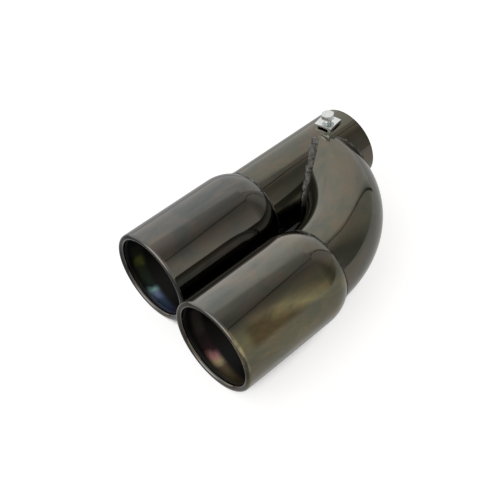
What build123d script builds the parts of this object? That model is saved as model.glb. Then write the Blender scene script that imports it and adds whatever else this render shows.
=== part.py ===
from build123d import *
import os
from math import acos, cos, degrees, radians, sin, sqrt, tan

# Twin-outlet exhaust tip, in millimetres. A straight inlet pipe and a bent branch each end in a spun
# sleeve with a rolled lip. A bolt in a welded square nut grips the tailpipe that slides into the inlet.
# The origin is the centre of the inlet mouth. +Y runs out of the inlet, so the outlets face -Y.
# The branch is on the +X side, and +Z is up, on the side of the clamp bolt.

# Layout
outlet_spacing = 85.0
branch_lead = 14.0  # how far the branch's lip stands in front of the left one
mouth_to_branch = 37.4  # along the pipe's axis, to where the branch's centre line meets it

# Inlet pipe and branch elbow
pipe_od = 63.5
pipe_wall = 1.5
elbow_wall = 1.5
saddle_step = 0.25  # how far the elbow's crown lies under the pipe's, so that its saddle closes
bend_radius = 98.0
bend_in_neck = 7.7  # how far inside its sleeve the elbow starts to bend
branch_hole_d = 46.0
weld_gap = 0.05  # between pieces that are welded together

# Outlet sleeves
sleeve_od = 76.0
sleeve_wall = 1.2
sleeve_length = 106.7
shoulder_radius = 34.0
lip_radius = 2.5
hem_length = 3.0
neck_insert = 14.2  # how far a tube reaches into its sleeve
neck_stock = 1.0  # left in a sleeve's neck, to be cut away to its tube

# Welds
neck_bead_radius = 1.0
branch_bead_leg = 2.6
branch_bead_rounding = 1.1
crotch_bead_stop = 0.5  # how far under the elbow's crowns the run towards the outlets ends
back_bead_stop = 2.0  # the same for the run towards the mouth, which keeps clear of the nut

# Clamp nut and bolt
clamp_from_branch = 16.4
nut_side = 16.0
nut_height = 3.1
nut_turn = 9.5
nut_corner_radius = 0.6
nut_corner_slope = 8.0  # of the cone that takes off the corners of its top
nut_foot_height = 1.6
nut_foot_width = 3.0
nut_collar_d = 9.0  # round the thread, from the plate down to the pipe
bolt_d = 6.0
bolt_length = 8.0
bolt_head_flats = 10.0
bolt_head_height = 4.0
bolt_tip_chamfer = 0.8
bolt_corner_slope = 30.0
bolt_backed_out = 3.6
bolt_hole_d = 7.0
thread_clearance = 0.1

# Values that follow from the sizes above
pipe_r = pipe_od / 2
elbow_r = pipe_r - saddle_step
sleeve_r = sleeve_od / 2
bend_x = outlet_spacing - bend_radius
bend_y = -mouth_to_branch - sqrt(bend_radius**2 - bend_x**2)
right_neck_y = bend_y + bend_in_neck
right_lip_y = right_neck_y - sleeve_length
left_lip_y = right_lip_y + branch_lead
left_neck_y = left_lip_y + sleeve_length
clamp_y = clamp_from_branch - mouth_to_branch
nut_top_z = pipe_r + nut_height
bolt_seat_z = nut_top_z + bolt_backed_out


def across_tube(x, y):
    """The plane square to a tube at (x, y), with its normal along +Y."""
    return Plane(origin=(x, y, 0), x_dir=(-1, 0, 0), z_dir=(0, 1, 0))


def clamp_plane(z):
    """The plane square to the clamp bolt at height z, turned with the nut."""
    turned = (cos(radians(nut_turn)), sin(radians(nut_turn)), 0)
    return Plane(origin=(0, clamp_y, z), x_dir=turned, z_dir=(0, 0, 1))


def ring(outer_r, inner_r):
    return Circle(outer_r) - Circle(inner_r)


def straight_tube(section):
    """A section run along the inlet pipe, from the mouth to its end inside the left sleeve."""
    return extrude(across_tube(0, 0) * section, left_neck_y - neck_insert)


def bent_tube(section):
    """A section run along the branch, from inside the right sleeve to the inlet pipe's axis."""
    start = across_tube(outlet_spacing, bend_y) * section
    bend_axis = Axis((bend_x, bend_y, 0), (0, 0, 1))
    bend_angle = degrees(acos(-bend_x / bend_radius))
    return extrude(start, bend_in_neck - neck_insert) + revolve(start, bend_axis, bend_angle)


def make_inlet_pipe():
    pipe = straight_tube(ring(pipe_r, pipe_r - pipe_wall))
    branch_y = bend_y + sqrt(bend_radius**2 - (pipe_r - bend_x) ** 2)
    side = Plane(origin=(0, branch_y, 0), x_dir=(0, 1, 0), z_dir=(1, 0, 0))
    pipe -= extrude(side * Circle(branch_hole_d / 2), pipe_od)
    return pipe - extrude(clamp_plane(0) * Circle(bolt_hole_d / 2), pipe_od)


def make_branch_elbow():
    return bent_tube(ring(elbow_r, elbow_r - elbow_wall)) - straight_tube(Circle(pipe_r + weld_gap))


def shoulder_centre(tube_r):
    """Centre of the shoulder's arc, placed so that the arc meets the tube at the sleeve's end."""
    x = sleeve_r - shoulder_radius
    return x, sleeve_length - sqrt(shoulder_radius**2 - (tube_r - x) ** 2)


def sleeve_section(tube_r):
    """Half section of a sleeve in the XY plane, lip at y = 0, for a revolve about the Y axis."""
    neck_r = tube_r - neck_stock
    wall_in = sleeve_r - sleeve_wall
    lip_x = sleeve_r - lip_radius
    curl_r = lip_radius - sleeve_wall
    hem_end = lip_radius + hem_length
    arc_x, arc_y = shoulder_centre(tube_r)

    def on_shoulder(radius, share):
        """A point on an arc of the shoulder: share 0 is at the neck, and 1 at the straight wall."""
        angle = acos((neck_r - arc_x) / radius) * (1 - share)
        return arc_x + radius * cos(angle), arc_y + radius * sin(angle)

    outer = [on_shoulder(shoulder_radius, share) for share in (0, 0.5, 1)]
    inner = [on_shoulder(shoulder_radius - sleeve_wall, share) for share in (1, 0.5, 0)]
    outline = [
        Line(inner[2], outer[0]),
        ThreePointArc(*outer),
        Line(outer[2], (sleeve_r, lip_radius)),
        ThreePointArc((sleeve_r, lip_radius), (lip_x, 0), (lip_x - lip_radius, lip_radius)),
        Line((lip_x - lip_radius, lip_radius), (lip_x - lip_radius, hem_end)),
        Line((lip_x - lip_radius, hem_end), (lip_x - curl_r, hem_end)),
        Line((lip_x - curl_r, hem_end), (lip_x - curl_r, lip_radius)),
        ThreePointArc((lip_x - curl_r, lip_radius), (lip_x, sleeve_wall), (wall_in, lip_radius)),
        Line((wall_in, lip_radius), inner[0]),
        ThreePointArc(*inner),
    ]
    return make_face(outline)


def make_sleeve(x, lip_y, tube, tube_r):
    """A spun sleeve whose neck is cut to fit its tube."""
    sleeve = Pos(x, lip_y, 0) * revolve(sleeve_section(tube_r), Axis.Y)
    return sleeve - tube(Circle(tube_r + weld_gap))


def make_sleeve_weld(x, lip_y, tube, tube_r):
    """Bead in the crease between a sleeve's shoulder and its tube."""
    bead = Pos(tube_r, sleeve_length) * Circle(neck_bead_radius)
    shoulder = Pos(shoulder_centre(tube_r)) * Circle(shoulder_radius)
    return Pos(x, lip_y, 0) * revolve(bead - shoulder, Axis.Y) - tube(Circle(tube_r))


def is_bead_ridge(edge):
    """Whether an edge of the branch weld lies clear of both the inlet pipe and the elbow."""
    middle = edge @ 0.5
    from_pipe = sqrt(middle.X**2 + middle.Z**2) - pipe_r
    across_bend = sqrt((middle.X - bend_x) ** 2 + (middle.Y - bend_y) ** 2) - bend_radius
    from_elbow = sqrt(across_bend**2 + middle.Z**2) - elbow_r
    return min(from_pipe, from_elbow) > branch_bead_leg / 2


def make_branch_weld():
    """Two runs of bead in the saddle's crease, each the space within one leg of both tubes."""
    near_elbow = bent_tube(Circle(elbow_r + branch_bead_leg))
    near_pipe = straight_tube(Circle(pipe_r + branch_bead_leg))
    beads = (near_elbow & near_pipe) - bent_tube(Circle(elbow_r)) - straight_tube(Circle(pipe_r))
    reach = 2 * sleeve_length
    runs = []
    for towards_mouth, stop in ((-1, crotch_bead_stop), (1, back_bead_stop)):
        beside = Pos(0, towards_mouth * reach / 2 - mouth_to_branch, 0)
        run = beads & beside * Box(reach, reach, 2 * (elbow_r - stop))
        runs.append(fillet(run.edges().filter_by(is_bead_ridge), branch_bead_rounding))
    return Compound(runs)


def corner_cone(flats, corners, height, slope):
    """A body of revolution, flat on top as far as the flats, that takes off a prism's top corners."""
    drop = (corners - flats) / 2 * tan(radians(slope))
    outline = [(0, 0), (corners / 2, 0), (corners / 2, height - drop), (flats / 2, height), (0, height)]
    return revolve(Plane.XZ * make_face(Polyline(outline, close=True)), Axis.Z)


def make_clamp_nut():
    """Square plate nut on four corner feet and a collar, cut to the curve of the inlet pipe."""
    outline = fillet(Rectangle(nut_side, nut_side).vertices(), nut_corner_radius)
    height = nut_height + nut_side / 2
    nut = extrude(outline, height) & corner_cone(nut_side, nut_side * sqrt(2), height, nut_corner_slope)
    nut -= extrude(Circle(bolt_d / 2 + thread_clearance), height)
    between_feet = nut_side - 2 * nut_foot_width
    cross = Rectangle(between_feet, 2 * nut_side) + Rectangle(2 * nut_side, between_feet)
    open_cross = extrude(cross - Circle(nut_collar_d / 2), height)
    place = clamp_plane(nut_top_z - height)
    under_plate = place * open_cross & straight_tube(Circle(pipe_r + nut_foot_height))
    return place * nut - straight_tube(Circle(pipe_r + weld_gap)) - under_plate


def make_clamp_bolt():
    head = extrude(RegularPolygon(bolt_head_flats / 2, 6, major_radius=False), bolt_head_height)
    head &= corner_cone(bolt_head_flats, bolt_head_flats * 2 / sqrt(3), bolt_head_height, bolt_corner_slope)
    shank = extrude(Circle(bolt_d / 2), -bolt_length)
    shank = chamfer(shank.faces().sort_by(Axis.Z)[0].edges(), bolt_tip_chamfer)
    return clamp_plane(bolt_seat_z) * (head + shank)


left_sleeve = (0, left_lip_y, straight_tube, pipe_r)
right_sleeve = (outlet_spacing, right_lip_y, bent_tube, elbow_r)
pieces = {
    "inlet_pipe": make_inlet_pipe(),
    "branch_elbow": make_branch_elbow(),
    "left_outlet_sleeve": make_sleeve(*left_sleeve),
    "right_outlet_sleeve": make_sleeve(*right_sleeve),
    "branch_weld": make_branch_weld(),
    "left_sleeve_weld": make_sleeve_weld(*left_sleeve),
    "right_sleeve_weld": make_sleeve_weld(*right_sleeve),
    "clamp_nut": make_clamp_nut(),
    "clamp_bolt": make_clamp_bolt(),
}

os.makedirs("parts", exist_ok=True)
for name, piece in pieces.items():
    export_step(piece, f"parts/{name}.step")
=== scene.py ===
import random
from math import asin, cos, pi, radians, sin, sqrt

import bpy
from mathutils import Matrix, Vector


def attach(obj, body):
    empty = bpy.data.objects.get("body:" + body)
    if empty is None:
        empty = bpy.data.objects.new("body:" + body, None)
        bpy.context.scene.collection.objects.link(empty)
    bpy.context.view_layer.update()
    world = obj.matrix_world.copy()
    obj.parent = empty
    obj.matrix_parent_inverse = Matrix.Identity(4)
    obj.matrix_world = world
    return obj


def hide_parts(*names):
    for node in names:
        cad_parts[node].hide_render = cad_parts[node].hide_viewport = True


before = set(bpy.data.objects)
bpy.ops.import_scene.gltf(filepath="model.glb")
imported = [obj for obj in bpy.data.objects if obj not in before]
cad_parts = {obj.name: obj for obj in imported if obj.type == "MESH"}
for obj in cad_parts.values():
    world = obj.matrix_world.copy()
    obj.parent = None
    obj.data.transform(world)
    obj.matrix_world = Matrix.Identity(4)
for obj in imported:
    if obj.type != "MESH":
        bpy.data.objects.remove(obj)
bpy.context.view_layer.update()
random.seed(4)

MM = 0.001

# Sizes of the solids, in millimetres, in the frame of the inlet mouth
PIPE_R = 31.75
ELBOW_R = 31.5
BEND_R = 98.0
BEND_X = -13.0
BRANCH_Y = -37.4
BEND_Y = BRANCH_Y - sqrt(BEND_R**2 - BEND_X**2)
SLEEVE_R = 38.0
SLEEVE_LENGTH = 106.7
LEFT_X = 0.0
RIGHT_X = 85.0
RIGHT_NECK_Y = BEND_Y + 7.7
LEFT_NECK_Y = RIGHT_NECK_Y + 14.0
CLAMP_Y = BRANCH_Y + 16.4
NUT_TURN = radians(9.5)
BOLT_SEAT_Z = PIPE_R + 3.1 + 3.6
BOLT_R = 3.0
BOLT_LENGTH = 8.0
HEAD_FLATS = 10.0
HEAD_HEIGHT = 4.0
FLOOR_Z = -SLEEVE_R


def new_object(name, verts, faces, smooth=True):
    """A mesh object from points in millimetres."""
    mesh = bpy.data.meshes.new(name)
    mesh.from_pydata([Vector(v) * MM for v in verts], [], faces)
    mesh.validate()
    if smooth:
        mesh.polygons.foreach_set("use_smooth", [True] * len(mesh.polygons))
    mesh.update()
    piece = bpy.data.objects.new(name, mesh)
    bpy.context.scene.collection.objects.link(piece)
    return piece


def skin_rings(rings, closed=False, base=0):
    """Points and faces of a skin over rings of equally many points; an open row of rings is capped."""
    count = len(rings[0])
    verts = [p for ring in rings for p in ring]
    faces = []
    last = len(rings) if closed else len(rings) - 1
    for i in range(last):
        a = base + i * count
        b = base + ((i + 1) % len(rings)) * count
        for k in range(count):
            n = (k + 1) % count
            faces.append((a + k, a + n, b + n, b + k))
    if not closed:
        end = base + (len(rings) - 1) * count
        faces.append(tuple(range(base, base + count))[::-1])
        faces.append(tuple(range(end, end + count)))
    return verts, faces


# Node trees


class Nodes:
    """A node tree, with short calls to add and join nodes."""

    def __init__(self, owner):
        owner.use_nodes = True
        self.tree = owner.node_tree

    def add(self, kind, **settings):
        node = self.tree.nodes.new(kind)
        for key, value in settings.items():
            setattr(node, key, value)
        return node

    def put(self, value, socket):
        """Sets a socket to a number or colour, or links it to another socket."""
        if isinstance(value, (int, float)):
            socket.default_value = value
        elif isinstance(value, tuple):
            socket.default_value = (*value, 1) if len(socket.default_value) == 4 else value
        else:
            self.tree.links.new(value, socket)

    def math(self, operation, a, b=0.0):
        node = self.add("ShaderNodeMath", operation=operation)
        self.put(a, node.inputs[0])
        self.put(b, node.inputs[1])
        return node.outputs[0]

    def length(self, a, b):
        return self.math("SQRT", self.math("ADD", self.math("MULTIPLY", a, a), self.math("MULTIPLY", b, b)))

    def coordinates(self, kind="Object"):
        return self.add("ShaderNodeTexCoord").outputs[kind]

    def split(self, vector):
        node = self.add("ShaderNodeSeparateXYZ")
        self.put(vector, node.inputs[0])
        return node.outputs

    def join(self, x, y, z):
        node = self.add("ShaderNodeCombineXYZ")
        for value, socket in zip((x, y, z), node.inputs):
            self.put(value, socket)
        return node.outputs[0]

    def scaled(self, vector, scale):
        node = self.add("ShaderNodeMapping")
        self.put(vector, node.inputs["Vector"])
        self.put(scale, node.inputs["Scale"])
        return node.outputs[0]

    def noise(self, vector, scale, detail=3.0, rough=0.5, distortion=0.0):
        node = self.add("ShaderNodeTexNoise")
        self.put(vector, node.inputs["Vector"])
        self.put(scale, node.inputs["Scale"])
        self.put(detail, node.inputs["Detail"])
        self.put(rough, node.inputs["Roughness"])
        self.put(distortion, node.inputs["Distortion"])
        return node.outputs["Fac"]

    def ramp(self, factor, stops):
        """A colour ramp: each stop is a place from 0 to 1 and a grey or a colour."""
        node = self.add("ShaderNodeValToRGB")
        elements = node.color_ramp.elements
        while len(elements) < len(stops):
            elements.new(0.5)
        for element, (place, color) in zip(elements, stops):
            element.position = place
            element.color = (*color, 1) if isinstance(color, tuple) else (color, color, color, 1)
        self.put(factor, node.inputs["Fac"])
        return node.outputs["Color"]

    def mix(self, factor, a, b, blend="MIX"):
        node = self.add("ShaderNodeMix", data_type="RGBA", blend_type=blend)
        self.put(factor, node.inputs[0])
        self.put(a, node.inputs[6])
        self.put(b, node.inputs[7])
        return node.outputs[2]

    def step(self, value, low, high):
        """0 at low, 1 at high, and an eased step between; low may be the larger."""
        node = self.add("ShaderNodeMapRange", interpolation_type="SMOOTHSTEP")
        self.put(value, node.inputs["Value"])
        self.put(min(low, high), node.inputs["From Min"])
        self.put(max(low, high), node.inputs["From Max"])
        if low > high:
            self.put(1.0, node.inputs["To Min"])
            self.put(0.0, node.inputs["To Max"])
        return node.outputs["Result"]

    def bump(self, height, distance, normal=None):
        node = self.add("ShaderNodeBump")
        self.put(1.0, node.inputs["Strength"])
        self.put(distance, node.inputs["Distance"])
        self.put(height, node.inputs["Height"])
        if normal is not None:
            self.put(normal, node.inputs["Normal"])
        return node.outputs["Normal"]


class Surface(Nodes):
    """A material, which is metal unless said otherwise."""

    def __init__(self, name, metallic=1.0):
        self.material = bpy.data.materials.new(name)
        super().__init__(self.material)
        self.shader = self.tree.nodes["Principled BSDF"]
        self.set("Metallic", metallic)

    def set(self, socket, value):
        """Sets or links a socket of the shader."""
        self.put(value, self.shader.inputs[socket])

    def finish(self, color, roughness, normal):
        self.set("Base Color", color)
        self.set("Roughness", roughness)
        self.set("Normal", normal)
        return self.material


# Materials


SOOT = (0.04, 0.038, 0.037)
LINING_ROUGHNESS = (0.55, 0.55, 0.55)
# How far under a tube's outside its sooty bore starts and is full, in millimetres
BORE_FADE = (0.6, 0.9)
# How far behind the lip a sleeve's lining starts and is full, in millimetres
LIP_FADE = (2.6, 3.6)


def shaded(stops, tint):
    """A ramp's stops with each colour multiplied by a tint."""
    return [(place, tuple(t * part for t, part in zip(tint, color))) for place, color in stops]


STREAKS = [
    (0.34, (0.133, 0.130, 0.128)),
    (0.46, (0.150, 0.148, 0.142)),
    (0.56, (0.157, 0.152, 0.142)),
    (0.68, (0.172, 0.162, 0.152)),
]
CLOUDS = [
    (0.36, (0.85, 0.90, 0.90)),
    (0.50, (1.0, 0.98, 0.93)),
    (0.62, (1.13, 1.01, 0.94)),
]
STAIN = (1.12, 0.86, 0.76)
TARNISH = [
    (0.36, (0.92, 0.92, 0.82)),
    (0.50, (0.97, 0.94, 0.74)),
    (0.66, (1.32, 1.20, 0.80)),
]
PAINTED_LIP_GLINT = (0.46, 0.40, 0.25)
# Painted shade over the top of the sleeve and a painted sheen just past it, by the share of a turn from its
# -X side over the bottom
PAINTED_TOP_SHADE_AND_SHEEN = [
    (0.65, 1.0),
    (0.68, 0.86),
    (0.70, 0.78),
    (0.72, 0.78),
    (0.745, 0.94),
    (0.77, 1.16),
    (0.80, 1.20),
]
# A smear across the outer side, by the share of SMEAR_REACH
SMEAR_REACH = 160.0
SMEAR_SLANT = 78.0
SMEAR = [
    (0.50, (0.56, 0.50, 0.46)),
    (0.56, (0.58, 0.53, 0.48)),
    (0.61, (0.95, 0.92, 0.86)),
    (0.69, (1.85, 1.80, 1.62)),
    (0.75, (1.50, 1.47, 1.36)),
    (0.80, (1.20, 1.20, 1.14)),
    (0.88, (0.90, 0.90, 0.88)),
]


def plated(n, place, tint):
    """Colour, roughness and normal of smoky plating, streaked along the tube and stained in spots."""
    streaks = n.noise(n.scaled(place, (1, 0.14, 1)), 95, detail=4, rough=0.55, distortion=0.3)
    clouds = n.noise(n.scaled(place, (1, 0.6, 1)), 55, detail=5, rough=0.6, distortion=0.9)
    color = n.mix(1.0, n.ramp(streaks, shaded(STREAKS, tint)), n.ramp(clouds, CLOUDS), "MULTIPLY")
    spots = n.step(n.noise(place, 130, detail=3, rough=0.6), 0.60, 0.72)
    color = n.mix(n.math("MULTIPLY", spots, 0.6), color, n.mix(1.0, color, STAIN, "MULTIPLY"))
    smear = n.noise(n.scaled(place, (1, 0.3, 1)), 60, detail=5, rough=0.65)
    roughness = n.ramp(smear, [(0.35, 0.045), (0.55, 0.07), (0.72, 0.12)])
    waves = n.noise(n.scaled(place, (1, 0.3, 1)), 22, detail=1.5)
    pits = n.noise(place, 1500, detail=2)
    normal = n.bump(pits, 0.000004, n.bump(waves, 0.00012))
    return color, roughness, normal


def lined(n, outside, inside, lining_look):
    """The outside's colour, roughness and normal, with a lining where inside is 1: sooty, and on the
    sleeves heat-tinted with a painted highlight.
    """
    color, roughness, normal = outside
    return n.mix(inside, color, lining_look), n.mix(inside, roughness, LINING_ROUGHNESS), normal


def between(n, turn, low, full_low, full_high, high):
    """1 on the part of a tube between the two inner angles, in degrees, and 0 outside the outer ones."""
    return n.math(
        "MULTIPLY",
        n.step(turn, radians(low), radians(full_low)),
        n.step(turn, radians(high), radians(full_high)),
    )


def tarnish_and_painted_light(n, color, place, turn, behind_lip):
    """Plating with painted shade over the top and a painted sheen just past it, golden down the outer side,
    with a smear and a painted golden glint along the lip.
    """
    # Painted shade and sheen, by the turn round the sleeve
    share = n.math("ADD", n.math("DIVIDE", turn, 2 * pi), 0.5)
    color = n.mix(1.0, color, n.ramp(share, PAINTED_TOP_SHADE_AND_SHEEN), "MULTIPLY")
    blotch = n.noise(n.scaled(place, (1, 0.5, 1)), 42, detail=5, rough=0.62, distortion=1.4)
    golden = n.mix(1.0, color, n.ramp(blotch, TARNISH), "MULTIPLY")
    color = n.mix(between(n, turn, -40, 0, 38, 66), color, golden)
    slide = n.math("ADD", behind_lip, n.math("MULTIPLY", turn, SMEAR_SLANT * MM))
    slide = n.math("ADD", slide, n.math("MULTIPLY", n.math("SUBTRACT", blotch, 0.5), 30 * MM))
    smeared = n.mix(1.0, color, n.ramp(n.math("DIVIDE", slide, SMEAR_REACH * MM), SMEAR), "MULTIPLY")
    smear = n.math("MULTIPLY", between(n, turn, 23, 31, 46, 55), n.step(behind_lip, 8 * MM, 16 * MM))
    color = n.mix(smear, color, smeared)
    # A painted golden glint along the outer side of the lip, broken into speckles
    glint_speckle = n.step(n.noise(place, 130, detail=2), 0.30, 0.60)
    lip_glint = n.math("MULTIPLY", between(n, turn, 2, 20, 42, 54), glint_speckle)
    return n.mix(n.math("MULTIPLY", n.step(behind_lip, 4 * MM, 2 * MM), lip_glint), color, PAINTED_LIP_GLINT)


def outwardness(n, x, z):
    """The distance from a tube's axis, times how far the surface faces away from it: -1 to 1."""
    normal_x, _, normal_z = n.split(n.add("ShaderNodeNewGeometry").outputs["Normal"])
    return n.math("ADD", n.math("MULTIPLY", x, normal_x), n.math("MULTIPLY", z, normal_z))


# Heat tints of the lining just behind the lip, from a sleeve's -X side down and round; their brightest
# stops are a painted highlight
LEFT_TINTS_AND_HIGHLIGHT = [
    (0.00, (0.05, 0.05, 0.04)),
    (0.04, (0.08, 0.09, 0.05)),
    (0.06, (0.34, 0.36, 0.10)),
    (0.09, (0.08, 0.10, 0.05)),
    (0.155, (0.05, 0.08, 0.07)),
    (0.178, (0.60, 1.0, 1.0)),
    (0.20, (0.36, 0.42, 0.70)),
    (0.23, (0.12, 0.20, 0.32)),
    (0.30, (0.09, 0.09, 0.18)),
    (0.36, (0.07, 0.05, 0.09)),
    (0.45, SOOT),
    (0.92, SOOT),
    (1.00, (0.05, 0.05, 0.04)),
]
RIGHT_TINTS_AND_HIGHLIGHT = [
    (0.00, (0.16, 0.13, 0.12)),
    (0.06, (0.18, 0.15, 0.13)),
    (0.10, (0.06, 0.05, 0.05)),
    (0.15, (0.10, 0.05, 0.06)),
    (0.175, (1.0, 0.50, 0.50)),
    (0.197, (1.0, 0.82, 0.48)),
    (0.225, (0.30, 0.23, 0.14)),
    (0.30, (0.15, 0.12, 0.06)),
    (0.36, (0.10, 0.08, 0.05)),
    (0.42, SOOT),
    (0.92, SOOT),
    (1.00, (0.16, 0.13, 0.12)),
]
# A band of heat tints and painted highlight: its colours, and its depth behind the lip in millimetres at an
# angle in degrees
LEFT_LINING_BAND = (LEFT_TINTS_AND_HIGHLIGHT, 10, -113)
RIGHT_LINING_BAND = (RIGHT_TINTS_AND_HIGHLIGHT, 12, -118)
# How many millimetres the band nears the lip per radian, and how far its colours stray, in turns
LINING_BAND_SLANT = 4.5
LINING_BAND_WANDER = 0.06


def lining_tints_and_highlight(n, place, turn, behind_lip, lining_look):
    """Colour of a sleeve's lining: soot, with a slanting band of heat tints whose brightest part is a
    painted highlight.
    """
    stops, depth_mm, angle = lining_look
    wander = n.math("MULTIPLY", n.noise(place, 90, detail=3), LINING_BAND_WANDER)
    share = n.math("ADD", n.math("DIVIDE", turn, 2 * pi), wander)
    tints = n.ramp(n.math("FRACT", n.math("ADD", share, 0.5 - LINING_BAND_WANDER / 2)), stops)
    slant = n.math("MULTIPLY", n.math("SUBTRACT", turn, radians(angle)), LINING_BAND_SLANT * MM)
    depth = n.math("ADD", behind_lip, slant)
    begin = n.step(depth, (depth_mm - 6) * MM, (depth_mm - 1) * MM)
    end = n.step(depth, (depth_mm + 8) * MM, (depth_mm + 2) * MM)
    return n.mix(n.math("MULTIPLY", begin, end), SOOT, tints)


def sleeve_chrome(name, x_mm, neck_y, tint, lining_look, gold):
    """Plating of a spun sleeve, with a heat-tinted lining that bears a painted highlight; gold is whether
    its outside is tarnished and given painted shade, sheen and a painted glint.
    """
    n = Surface(name)
    place = n.coordinates()
    x, y, z = n.split(place)
    dx = n.math("SUBTRACT", x, x_mm * MM)
    turn = n.math("ARCTAN2", z, dx)
    behind_lip = n.math("SUBTRACT", y, (neck_y - SLEEVE_LENGTH) * MM)
    shifted_y = n.math("ADD", y, x_mm)  # so that the two sleeves have different streaks
    color, roughness, normal = plated(n, n.join(dx, shifted_y, z), tint)
    if gold:
        color = tarnish_and_painted_light(n, color, place, turn, behind_lip)
    inside = n.math(
        "MULTIPLY",
        n.step(outwardness(n, dx, z), 0.002, -0.002),
        n.step(behind_lip, LIP_FADE[0] * MM, LIP_FADE[1] * MM),
    )
    n.set("Anisotropic", 0.95)
    n.set("Anisotropic Rotation", 0.25)
    spun = n.add("ShaderNodeTangent", direction_type="RADIAL", axis="Y")
    n.set("Tangent", spun.outputs["Tangent"])
    # The lining: soot and heat tints, with a painted highlight in the band behind the lip
    lining = lining_tints_and_highlight(n, place, turn, behind_lip, lining_look)
    return n.finish(*lined(n, (color, roughness, normal), inside, lining))


def in_bore(n, from_axis, tube_r):
    """1 inside a tube and 0 outside, by the distance from its axis."""
    start, full = BORE_FADE
    return n.step(from_axis, (tube_r - start) * MM, (tube_r - full) * MM)


def pipe_chrome():
    """Plating of the inlet pipe; its bore and the edges of its holes are sooty."""
    n = Surface("inlet_chrome")
    place = n.coordinates()
    x, y, z = n.split(place)
    bore = in_bore(n, n.length(x, z), PIPE_R)
    hole_edge = n.math(
        "MULTIPLY",
        n.step(outwardness(n, x, z), 0.7 * PIPE_R * MM, 0.4 * PIPE_R * MM),
        n.step(y, -3.0 * MM, -4.0 * MM),
    )
    inside = n.math("MAXIMUM", bore, hole_edge)
    return n.finish(*lined(n, plated(n, place, (0.94, 0.94, 0.85)), inside, SOOT))


def elbow_chrome():
    """Plating of the elbow, whose streaks follow the bend."""
    n = Surface("elbow_chrome")
    x, y, z = n.split(n.coordinates())
    dx = n.math("SUBTRACT", x, BEND_X * MM)
    dy = n.math("SUBTRACT", y, BEND_Y * MM)
    across = n.math("SUBTRACT", n.length(dx, dy), BEND_R * MM)
    along = n.math("MULTIPLY", n.math("ARCTAN2", dy, dx), BEND_R * MM)
    inside = in_bore(n, n.length(across, z), ELBOW_R)
    return n.finish(*lined(n, plated(n, n.join(across, along, z), (1.0, 1.0, 0.89)), inside, SOOT))


WELD_GRAIN = [(0.30, (0.10, 0.096, 0.092)), (0.52, (0.25, 0.245, 0.24)), (0.72, (0.42, 0.41, 0.40))]


def weld_metal(name, shade, painted_shade_below=None):
    """Grainy bead; below a height in millimetres it turns black, a painted shade."""
    n = Surface(name)
    place = n.coordinates()
    grain = n.noise(place, 900, detail=4, rough=0.65)
    patch = n.noise(place, 260, detail=3, rough=0.6)
    color = n.mix(
        1.0,
        n.ramp(grain, shaded(WELD_GRAIN, (shade, shade, shade))),
        n.ramp(patch, [(0.38, (0.35, 0.35, 0.34)), (0.62, (1.0, 1.0, 0.95))]),
        "MULTIPLY",
    )
    if painted_shade_below is not None:
        # Painted shade: the bead goes black towards the bottom
        _, _, z = n.split(place)
        color = n.mix(n.step(z, painted_shade_below * MM, (painted_shade_below - 12) * MM), color, (0.02, 0.02, 0.02))
    return n.finish(color, n.ramp(grain, [(0.3, 0.5), (0.7, 0.28)]), n.bump(grain, 0.00025))


def zinc_plate():
    n = Surface("zinc_plate")
    grain = n.noise(n.coordinates(), 700, detail=4)
    color = n.ramp(grain, [(0.3, (0.66, 0.69, 0.70)), (0.7, (0.80, 0.82, 0.82))])
    return n.finish(color, n.ramp(grain, [(0.3, 0.16), (0.7, 0.26)]), n.bump(grain, 0.000008))


LEFT_TINT = (0.97, 1.0, 1.04)
RIGHT_TINT = (1.16, 1.16, 1.11)

branch_metal = weld_metal("branch_weld_metal", 0.75, painted_shade_below=14)
left_neck_metal = weld_metal("left_neck_weld_metal", 0.85)
# The right neck's bead is a darker copy of the same weld metal: painted shade along its crease
right_neck_metal = weld_metal("right_neck_weld_metal", 0.45)
zinc = zinc_plate()
left_chrome = sleeve_chrome("left_chrome", LEFT_X, LEFT_NECK_Y, LEFT_TINT, LEFT_LINING_BAND, gold=False)
right_chrome = sleeve_chrome("right_chrome", RIGHT_X, RIGHT_NECK_Y, RIGHT_TINT, RIGHT_LINING_BAND, gold=True)
for node, material in (
    ("inlet_pipe", pipe_chrome()),
    ("branch_elbow", elbow_chrome()),
    ("left_outlet_sleeve", left_chrome),
    ("right_outlet_sleeve", right_chrome),
    ("clamp_nut", zinc),
):
    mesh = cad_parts[node].data
    mesh.materials.clear()
    mesh.materials.append(material)


def dress(piece, body, material, node):
    """Gives a new piece its material and its place in the frame, instead of a node of the solids."""
    piece.data.materials.append(material)
    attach(piece, body)
    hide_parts(node)


# Branch weld: a rippled bead along each side of the saddle

BEAD_STEP = 0.3
RIPPLE_PITCH = 2.1
RIPPLE_LIFT = 0.3
EDGE_SINK = 0.4  # how far a bead's two edges sink into the tubes
ROOT_SINK = 0.6


def seam_point(height, side):
    """Where elbow and pipe meet at a height, with both outward normals; side -1 is towards the outlets."""
    reach = BEND_R + side * sqrt(ELBOW_R**2 - height**2)
    x = sqrt(PIPE_R**2 - height**2)
    y = BEND_Y + sqrt(reach**2 - (x - BEND_X) ** 2)
    out = Vector((x - BEND_X, y - BEND_Y, 0)).normalized()
    centre = Vector((BEND_X, BEND_Y, 0)) + out * BEND_R
    point = Vector((x, y, height))
    return point, Vector((x, 0, height)).normalized(), (point - centre).normalized()


def seam_path(top, bottom, side):
    """Evenly spaced points of a seam, from one height down to another."""
    start, stop = asin(top / ELBOW_R), asin(bottom / ELBOW_R)
    fine = [seam_point(ELBOW_R * sin(start + (stop - start) * i / 2000), side) for i in range(2001)]
    path = [fine[0]]
    gone = 0.0
    for before, here in zip(fine, fine[1:]):
        gone += (here[0] - before[0]).length
        if gone >= BEAD_STEP:
            path.append(here)
            gone -= BEAD_STEP
    return path


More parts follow.
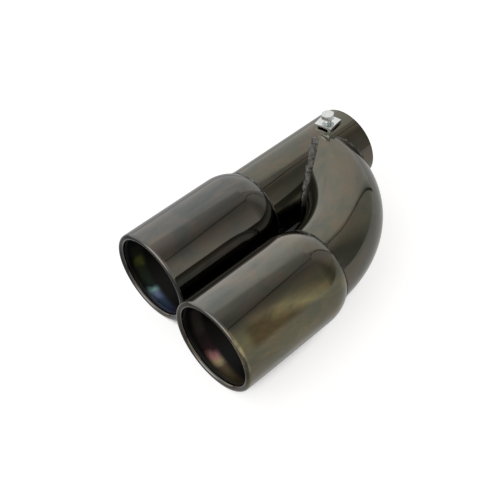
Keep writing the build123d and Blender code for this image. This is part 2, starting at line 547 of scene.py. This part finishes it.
def bead_rings(path, leg_at_crown, leg_at_side, crown):
    """Cross-sections of a bead that fills the crease along a path, with stacked ripples."""
    rings = []
    length = (len(path) - 1) * BEAD_STEP
    wobble = [random.uniform(-1, 1) for _ in range(int(length / RIPPLE_PITCH) + 3)]
    for i, (p, on_pipe, on_elbow) in enumerate(path):
        s = i * BEAD_STEP
        tangent = on_pipe.cross(on_elbow).normalized()
        along_pipe = tangent.cross(on_pipe)
        if along_pipe.dot(on_elbow) < 0:
            along_pipe.negate()
        along_elbow = tangent.cross(on_elbow)
        if along_elbow.dot(on_pipe) < 0:
            along_elbow.negate()
        out = (on_pipe + on_elbow).normalized()
        taper = min(1.0, 0.5 + 0.19 * min(s, length - s))
        k = int(s / RIPPLE_PITCH)
        share = s / RIPPLE_PITCH - k
        drift = wobble[k] * (1 - share) + wobble[k + 1] * share
        leg = leg_at_side + (leg_at_crown - leg_at_side) * (p.z / ELBOW_R) ** 2
        size = leg * taper * (1 + 0.12 * drift)
        low = p + along_pipe * size * (1 + 0.10 * drift) - on_pipe * EDGE_SINK
        high = p + along_elbow * size * (1 - 0.10 * drift) - on_elbow * EDGE_SINK
        bulge = p + (along_pipe + along_elbow) * size * 0.5 + out * crown * taper
        ring = []
        for j in range(13):
            u = j / 12
            ripple = s / RIPPLE_PITCH + 0.55 * (1 - (2 * u - 1) ** 2)
            lift = RIPPLE_LIFT * taper * ((ripple % 1.0) ** 0.7 - 0.5) * sin(pi * u)
            ring.append(low * (1 - u) ** 2 + bulge * 2 * u * (1 - u) + high * u**2 + out * lift)
        ring.append(p - out * ROOT_SINK)
        rings.append(ring)
    return rings


# Each run's side, upper and lower height, leg at the crown and at the side, and how far it stands up
BEAD_RUNS = [
    (-1, ELBOW_R - 0.02, 0.4 - ELBOW_R, 4.0, 2.7, 0.9),
    (1, ELBOW_R - 3.0, 2.0 - ELBOW_R, 2.0, 2.6, 0.3),
]
# The crease that the welder left open over the crown, laid with a near-black bead as a painted shadow
OPEN_CREASE = [(1, ELBOW_R - 0.02, ELBOW_R - 2.8, 0.7, 0.7, 0.05)]


def add_runs(name, runs, material):
    verts, faces = [], []
    for side, top, bottom, leg_at_crown, leg_at_side, crown in runs:
        rings = bead_rings(seam_path(top, bottom, side), leg_at_crown, leg_at_side, crown)
        more_verts, more_faces = skin_rings(rings, base=len(verts))
        verts += more_verts
        faces += more_faces
    dress(new_object(name, verts, faces), "tip", material, "branch_weld")


add_runs("branch_bead", BEAD_RUNS, branch_metal)
# A near-black bead in the open crease: painted shadow
add_runs("branch_crease", OPEN_CREASE, weld_metal("painted_crease_shadow", 0.06))


# Sleeve welds: a small uneven bead round each tube

NECK_STEPS = 420
NECK_LUMPS = 70
NECK_BEAD_R = 0.78
NECK_LEAN = 0.3  # how far the bend has already carried the elbow aside at its neck


def neck_bead(name, x_mm, y_mm, tube_r, material, node):
    lumps = [random.uniform(-1, 1) for _ in range(NECK_LUMPS)]
    rings = []
    for i in range(NECK_STEPS):
        a = 2 * pi * i / NECK_STEPS
        place = NECK_LUMPS * i / NECK_STEPS
        k = int(place)
        lump = lumps[k] * (k + 1 - place) + lumps[(k + 1) % NECK_LUMPS] * (place - k)
        size = NECK_BEAD_R + 0.14 * lump + 0.08 * (1.5 * place % 1.0)
        out = Vector((cos(a), 0, sin(a)))
        centre = Vector((x_mm, y_mm, 0)) + out * tube_r
        ring = []
        for j in range(12):
            b = 2 * pi * j / 12
            ring.append(centre + out * 0.92 * size * cos(b) + Vector((0, size * sin(b), 0)))
        rings.append(ring)
    verts, faces = skin_rings(rings, closed=True)
    dress(new_object(name, verts, faces), "tip", material, node)


right_bead_x = RIGHT_X - NECK_LEAN
neck_bead("left_neck_bead", LEFT_X, LEFT_NECK_Y, PIPE_R, left_neck_metal, "left_sleeve_weld")
neck_bead("right_neck_bead", right_bead_x, RIGHT_NECK_Y, ELBOW_R, right_neck_metal, "right_sleeve_weld")


# Clamp bolt: hexagon head with a chamfered crown, and a cut thread

THREAD_PITCH = 1.0
THREAD_DEPTH = 0.55
THREAD_RINGS = 100
THREAD_STEPS = 48
TIP_CHAMFER = 0.8
HEAD_STEPS = 72


def about_bolt(radius, angle, z):
    return radius * cos(angle + NUT_TURN), CLAMP_Y + radius * sin(angle + NUT_TURN), z


def hexagon_ring(flats, z, limit):
    """A hexagon across the flats at height z, with its corners held within a radius."""
    ring = []
    for i in range(HEAD_STEPS):
        a = 2 * pi * i / HEAD_STEPS
        from_flat = a % (pi / 3) - pi / 6
        ring.append(about_bolt(min(flats / 2 / cos(from_flat), limit), a, z))
    return ring


def circle_ring(radius, z):
    return [about_bolt(radius, 2 * pi * i / HEAD_STEPS, z) for i in range(HEAD_STEPS)]


# The head, from its washer face up to the dished top
head_top = BOLT_SEAT_Z + HEAD_HEIGHT
corner = HEAD_FLATS / sqrt(3)
verts, faces = skin_rings(
    [
        circle_ring(4.4, BOLT_SEAT_Z),
        circle_ring(4.75, BOLT_SEAT_Z + 0.05),
        circle_ring(4.8, BOLT_SEAT_Z + 0.28),
        hexagon_ring(HEAD_FLATS, BOLT_SEAT_Z + 0.30, corner - 0.45),
        hexagon_ring(HEAD_FLATS, BOLT_SEAT_Z + 0.55, corner - 0.05),
        hexagon_ring(HEAD_FLATS, head_top - 0.46, corner - 0.05),
        hexagon_ring(HEAD_FLATS, head_top - 0.24, corner - 0.40),
        hexagon_ring(HEAD_FLATS - 0.06, head_top - 0.05, 4.95),
        circle_ring(4.7, head_top),
        circle_ring(3.6, head_top - 0.12),
        circle_ring(1.2, head_top - 0.2),
    ]
)
dress(new_object("bolt_head", verts, faces, smooth=False), "bolt", zinc, "clamp_bolt")

rings = []
for i in range(THREAD_RINGS + 1):
    down = BOLT_LENGTH * i / THREAD_RINGS
    tip = max(0.0, down - BOLT_LENGTH + TIP_CHAMFER)
    ring = []
    for k in range(THREAD_STEPS):
        phase = (down / THREAD_PITCH + k / THREAD_STEPS) % 1.0
        flank = min(1.0, max(0.0, abs(phase - 0.5) * 2.6 - 0.25))
        radius = min(BOLT_R - 0.02 - THREAD_DEPTH * flank, BOLT_R - tip)
        ring.append(about_bolt(radius, 2 * pi * k / THREAD_STEPS, BOLT_SEAT_Z - down))
    rings.append(ring)
verts, faces = skin_rings(rings)
dress(new_object("bolt_thread", verts, faces), "bolt", zinc, "clamp_bolt")

# Floor: white paper, with a darker sheet that only the plating reflects

FLOOR_HALF = 4000.0
SHELTER_REACH = 80.0
SHEET_GAP = 0.02
# The darker sheet brightens between these two places along Y: painted shade on the floor in front of the
# outlets
DIM_FRONT_Y = -262.0
DIM_BACK_Y = -222.0


def floor_sheet(name, z_mm):
    """A wide sheet, its material, and how open each place on it is to the light."""
    spots = [(x * FLOOR_HALF, y * FLOOR_HALF, z_mm) for x, y in ((-1, -1), (1, -1), (1, 1), (-1, 1))]
    sheet = new_object(name, spots, [(0, 1, 2, 3)], smooth=False)
    n = Surface(name, metallic=0.0)
    n.set("Specular IOR Level", 0.0)
    n.set("Emission Color", (1.0, 1.0, 1.0))
    shelter = n.add("ShaderNodeAmbientOcclusion", samples=16)
    n.put(SHELTER_REACH * MM, shelter.inputs["Distance"])
    sheet.data.materials.append(n.material)
    return sheet, n, shelter.outputs["AO"]


floor, paper, openness = floor_sheet("floor", FLOOR_Z)
paper.set("Base Color", (0.55, 0.55, 0.55))
paper.set("Roughness", 0.9)
# The paper glows evenly, and its glow fades where the object shelters it: a painted contact shadow
paper.set("Emission Strength", paper.math("MULTIPLY", paper.step(openness, 0.14, 0.32), 0.72))
floor.visible_glossy = False

reflected, dim, openness = floor_sheet("reflected_floor", FLOOR_Z + SHEET_GAP)
dim.set("Base Color", (0.0, 0.0, 0.0))
_, y, _ = dim.split(dim.coordinates())
# The sheet glows; its glow is dimmer in front of the outlets and where the object shelters it: painted
# shade and a painted contact shadow
behind_front = dim.step(y, DIM_FRONT_Y * MM, DIM_BACK_Y * MM)
glow = dim.math("ADD", 0.22, dim.math("MULTIPLY", behind_front, 0.36))
dim.set("Emission Strength", dim.math("MULTIPLY", glow, dim.step(openness, 0.15, 0.5)))
reflected.visible_camera = False
reflected.visible_diffuse = False
reflected.visible_shadow = False
reflected.visible_transmission = False

# Camera, from the photo's outlines

camera_data = bpy.data.cameras.new("camera")
camera_data.sensor_width = 36.0
camera_data.lens = 66.88
camera = bpy.data.objects.new("camera", camera_data)
bpy.context.scene.collection.objects.link(camera)
right = Vector((0.691014, 0.719100, -0.073444))
up = Vector((-0.465505, 0.520436, 0.715857))
back = Vector((0.552996, -0.460479, 0.694373))
place = Vector((429.63, -476.15, 496.41)) * MM
camera.matrix_world = Matrix.Translation(place) @ Matrix((right, up, back)).transposed().to_4x4()
bpy.context.scene.camera = camera

# Light: a white tent whose walls differ in brightness and tint by azimuth in degrees from -Y over +X

WALLS = [
    (0, 0.48, (1, 1, 1)),
    (60, 0.60, (1, 0.98, 0.92)),
    (100, 0.74, (1, 0.95, 0.82)),
    (117, 0.62, (1, 0.95, 0.82)),
    (125, 0.36, (1, 0.95, 0.83)),
    (135, 0.25, (1, 0.95, 0.84)),
    (147, 0.22, (1, 0.95, 0.84)),
    (155, 0.32, (1, 0.96, 0.86)),
    (166, 0.43, (1, 0.97, 0.88)),
    (184, 0.48, (1, 0.97, 0.90)),
    (188, 0.82, (1, 0.98, 0.93)),
    (215, 0.92, (1, 0.99, 0.95)),
    (245, 1.00, (1, 1, 0.99)),
    (280, 1.02, (1, 1, 1)),
    (320, 0.66, (1, 1, 1)),
    (360, 0.48, (1, 1, 1)),
]
CEILING = [
    (0, 0.55, (1, 1, 1)),
    (100, 0.42, (1, 0.96, 0.84)),
    (138, 0.25, (1, 0.95, 0.84)),
    (150, 0.27, (1, 0.95, 0.84)),
    (163, 0.36, (1, 0.96, 0.86)),
    (176, 0.42, (1, 0.97, 0.88)),
    (195, 0.53, (1, 0.97, 0.90)),
    (215, 0.62, (1, 0.98, 0.93)),
    (260, 0.75, (1, 1, 0.98)),
    (360, 0.55, (1, 1, 1)),
]


def height(elevation):
    """The Z of a unit direction at an elevation in degrees."""
    return sin(radians(elevation))


def by_azimuth(table):
    """The stops of a ramp over one turn, from a table of azimuth, brightness and tint."""
    return [(degree / 360, tuple(bright * part for part in tint)) for degree, bright, tint in table]


world = bpy.data.worlds.new("studio")
bpy.context.scene.world = world
sky = Nodes(world)
direction = sky.coordinates("Generated")
x, y, z = sky.split(direction)
turn = sky.math("ARCTAN2", x, sky.math("MULTIPLY", y, -1.0))
azimuth = sky.math("FRACT", sky.math("ADD", sky.math("DIVIDE", turn, 2 * pi), 1.0))
overhead = sky.step(z, height(57.0), height(60.0))
tent = sky.mix(overhead, sky.ramp(azimuth, by_azimuth(WALLS)), sky.ramp(azimuth, by_azimuth(CEILING)))
# Straight above, where all azimuths meet, the ceiling is even
tent = sky.mix(sky.step(z, height(68.0), height(84.0)), tent, (0.55, 0.54, 0.51))
# A soft light in front of the outlets, for the glints on the lips and the linings
front = Vector((-0.13, -0.90, 0.42)).normalized()
towards = sky.add("ShaderNodeVectorMath", operation="DOT_PRODUCT")
sky.put(direction, towards.inputs[0])
sky.put(tuple(front), towards.inputs[1])
glow = sky.step(towards.outputs["Value"], cos(radians(38.0)), cos(radians(8.0)))
tent = sky.mix(glow, tent, (2.0, 2.0, 2.0))
seen = sky.add("ShaderNodeLightPath").outputs["Is Camera Ray"]
sky.put(sky.mix(seen, tent, (1.0, 1.0, 1.0)), sky.tree.nodes["Background"].inputs["Color"])

# A dark seam of the tent, seen only in the plating

SEAM_R = 10.0
SEAM = [
    (430, 20, 650),
    (340, 110, 650),
    (210, 230, 650),
    (115, 325, 650),
    (112, 490, 640),
    (70, 560, 600),
    (48, 575, 450),
    (44, 575, FLOOR_Z),
]
rings = []
for k, spot in enumerate(SEAM):
    ahead = Vector(SEAM[min(k + 1, len(SEAM) - 1)]) - Vector(SEAM[max(k - 1, 0)])
    side = ahead.cross(Vector((1, 1, 0))).normalized()
    rise = side.cross(ahead).normalized()
    angles = [2 * pi * j / 8 for j in range(8)]
    rings.append([Vector(spot) + (side * cos(b) + rise * sin(b)) * SEAM_R for b in angles])
verts, faces = skin_rings(rings)
seam = new_object("tent_seam", verts, faces)
velvet = Surface("velvet", metallic=0.0)
velvet.set("Base Color", (0.05, 0.035, 0.022))
velvet.set("Specular IOR Level", 0.0)
seam.data.materials.append(velvet.material)
seam.visible_camera = False
seam.visible_diffuse = False
seam.visible_shadow = False

bpy.context.scene.view_settings.view_transform = "Standard"
